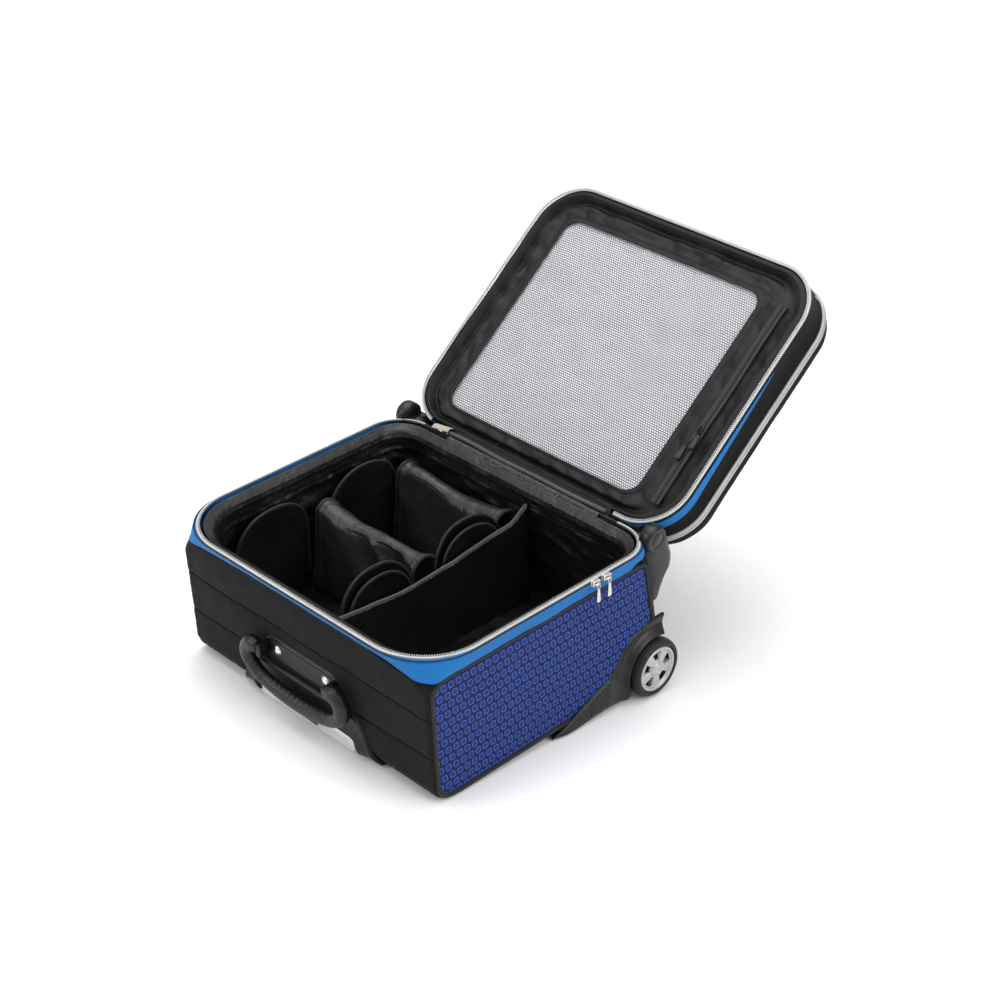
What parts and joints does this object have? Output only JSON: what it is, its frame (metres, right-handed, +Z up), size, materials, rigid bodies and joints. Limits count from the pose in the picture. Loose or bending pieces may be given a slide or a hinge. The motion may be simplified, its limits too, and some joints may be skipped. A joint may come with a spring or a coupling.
{
  "type": "lawn bowls trolley bag",
  "caption": "Wheeled soft bag lying on its back with its lid open: padded bowl bays, shoe bay, mesh lid pocket, telescopic trolley handle and swinging carry handle.",
  "frame": {"origin": "middle of the bag's back face, which faces down while the bag lies open", "axes": "+X across the bag along the wheel axles, +Y towards the wheels and the lid hinge, +Z up out of the mouth"},
  "size_m": [0.46, 0.7118, 0.4443],
  "materials": {
    "black_fabric": "woven polyester",
    "printed_fabric": "royal blue ring print on navy polyester",
    "azure_fabric": "azure polyester",
    "silver_zip": "silver-grey zip tape and teeth",
    "lining_nylon": "coated nylon, slight gloss",
    "stiffener_board": "plastic stiffener board",
    "black_mesh": "knitted mesh",
    "black_zip": "black coil zip",
    "zip_metal": "plated zinc",
    "pull_rubber": "moulded rubber",
    "black_moulding": "satin moulding",
    "rivet_steel": "bright",
    "tube_aluminium": "anodised",
    "silver_moulding": "silver paint",
    "tyre_rubber": "matt"
  },
  "bodies": {
    "case": {"top_end_panel": "black_fabric", "bottom_end_panel": "black_fabric", "back_panel": "black_fabric", "back_board": "stiffener_board", "side_panel_left": "printed_fabric", "side_panel_right": "printed_fabric", "piping_left": "black_fabric", "piping_right": "black_fabric", "zip_gusset": "azure_fabric", "body_zip": "silver_zip", "lining": "lining_nylon", "saddle_divider_middle": "lining_nylon", "saddle_divider_back": "lining_nylon", "bowl_sleeve_left_front": "lining_nylon", "bowl_sleeve_left_back": "lining_nylon", "bowl_sleeve_right_front": "lining_nylon", "bowl_sleeve_right_back": "lining_nylon", "shoe_divider": "lining_nylon", "hinge_binding": "black_fabric", "handle_plate": "black_moulding", "handle_rivets": "rivet_steel", "handle_pins": "rivet_steel", "grip_bezel": "black_moulding", "guide_tubes": "tube_aluminium", "wheel_housing_left": "black_moulding", "wheel_housing_right": "black_moulding", "wheel_axles": "rivet_steel", "stand_foot_left": "black_moulding", "stand_foot_right": "black_moulding"},
    "lid": {"lid_zip": "silver_zip", "lid_gusset": "black_fabric", "lid_stripes": "azure_fabric", "lid_board": "stiffener_board", "pocket_zip_upper": "silver_zip", "mesh_frame": "black_fabric", "mesh_net": "black_mesh", "mesh_zip": "black_zip"},
    "pocket_flap": {"pocket_zip_lower": "silver_zip", "pocket_panel": "black_fabric"},
    "carry_handle": {"carry_handle": "black_moulding"},
    "trolley_middle": {"middle_tubes": "tube_aluminium"},
    "trolley_grip": {"inner_tubes": "tube_aluminium", "trolley_grip": "silver_moulding"},
    "trolley_button": {"trolley_button": "black_moulding"},
    "wheel_left": {"tyre_left": "tyre_rubber", "wheel_hub_left": "silver_moulding", "hub_cap_left": "silver_moulding"},
    "wheel_right": {"tyre_right": "tyre_rubber", "wheel_hub_right": "silver_moulding", "hub_cap_right": "silver_moulding"},
    "main_slider_front": {"main_slider_front": "zip_metal"},
    "main_pull_front": {"main_pull_front": "zip_metal"},
    "main_slider_back": {"main_slider_back": "zip_metal"},
    "main_pull_back": {"main_pull_back": "zip_metal"},
    "mesh_slider_lower": {"mesh_slider_lower": "black_zip"},
    "mesh_pull_lower": {"mesh_pull_lower": "pull_rubber"},
    "mesh_slider_upper": {"mesh_slider_upper": "black_zip"},
    "mesh_pull_upper": {"mesh_pull_upper": "pull_rubber"},
    "pocket_slider": {"pocket_slider": "zip_metal"},
    "pocket_pull": {"pocket_pull": "zip_metal"}
  },
  "joints": [
    {"name": "lid_hinge", "type": "hinge", "parent": "case", "child": "lid", "pos_m": [0, 0.163, 0.192], "axis": [1, 0, 0], "range_deg": [0, 141.1]},
    {"name": "pocket_flap_hinge", "type": "hinge", "parent": "lid", "child": "pocket_flap", "pos_m": [0, 0.19642, 0.15536], "axis": [1, 0, 0], "range_deg": [-50, 0]},
    {"name": "carry_handle_swivel", "type": "hinge", "parent": "case", "child": "carry_handle", "pos_m": [0, -0.20979, 0.08086], "axis": [1, 0, 0], "range_deg": [-140, 0]},
    {"name": "trolley_stage_lower", "type": "slide", "parent": "case", "child": "trolley_middle", "axis": [0, -1, 0], "range_m": [0, 0.23]},
    {"name": "trolley_stage_upper", "type": "slide", "parent": "trolley_middle", "child": "trolley_grip", "axis": [0, -1, 0], "range_m": [0, 0.23]},
    {"name": "trolley_button_press", "type": "slide", "parent": "trolley_grip", "child": "trolley_button", "axis": [0, 1, 0], "range_m": [0, 0.0035], "stiffness_N_per_m": 400, "springref_m": -0.002},
    {"name": "wheel_left_spin", "type": "hinge", "parent": "case", "child": "wheel_left", "pos_m": [-0.219, 0.158, 0.017], "axis": [1, 0, 0], "continuous": true},
    {"name": "wheel_right_spin", "type": "hinge", "parent": "case", "child": "wheel_right", "pos_m": [0.219, 0.158, 0.017], "axis": [1, 0, 0], "continuous": true},
    {"name": "main_slider_front_run", "type": "slide", "parent": "case", "child": "main_slider_front", "axis": [0, -1, 0], "range_m": [0, 0.16]},
    {"name": "main_pull_front_swing", "type": "hinge", "parent": "main_slider_front", "child": "main_pull_front", "pos_m": [0.2257, 0.052, 0.1881], "axis": [0, 1, 0], "range_deg": [-150, 0]},
    {"name": "main_slider_back_run", "type": "hinge", "parent": "case", "child": "main_slider_back", "pos_m": [0.132, 0.075, 0.1869], "axis": [0, 0, 1], "range_deg": [0, 8]},
    {"name": "main_pull_back_swing", "type": "hinge", "parent": "main_slider_back", "child": "main_pull_back", "pos_m": [0.2257, 0.07, 0.1881], "axis": [0, 1, 0], "range_deg": [-150, 0]},
    {"name": "mesh_slider_lower_run", "type": "slide", "parent": "lid", "child": "mesh_slider_lower", "axis": [0, -0.7782, -0.628], "range_m": [0, 0.04]},
    {"name": "mesh_pull_lower_swing", "type": "hinge", "parent": "mesh_slider_lower", "child": "mesh_pull_lower", "pos_m": [0.1783, 0.25263, 0.27074], "axis": [1, 0, 0], "range_deg": [-150, 0]},
    {"name": "mesh_slider_upper_run", "type": "slide", "parent": "lid", "child": "mesh_slider_upper", "axis": [0, 0.7782, 0.628], "range_m": [0, 0.16]},
    {"name": "mesh_pull_upper_swing", "type": "hinge", "parent": "mesh_slider_upper", "child": "mesh_pull_upper", "pos_m": [0.1867, 0.26664, 0.28205], "axis": [1, 0, 0], "range_deg": [-150, 0]},
    {"name": "pocket_slider_run", "type": "slide", "parent": "lid", "child": "pocket_slider", "axis": [0, -0.7782, -0.628], "range_m": [0, 0.16]},
    {"name": "pocket_pull_swing", "type": "hinge", "parent": "pocket_slider", "child": "pocket_pull", "pos_m": [-0.2227, 0.38865, 0.31047], "axis": [1, 0, 0], "range_deg": [-150, 150]}
  ]
}
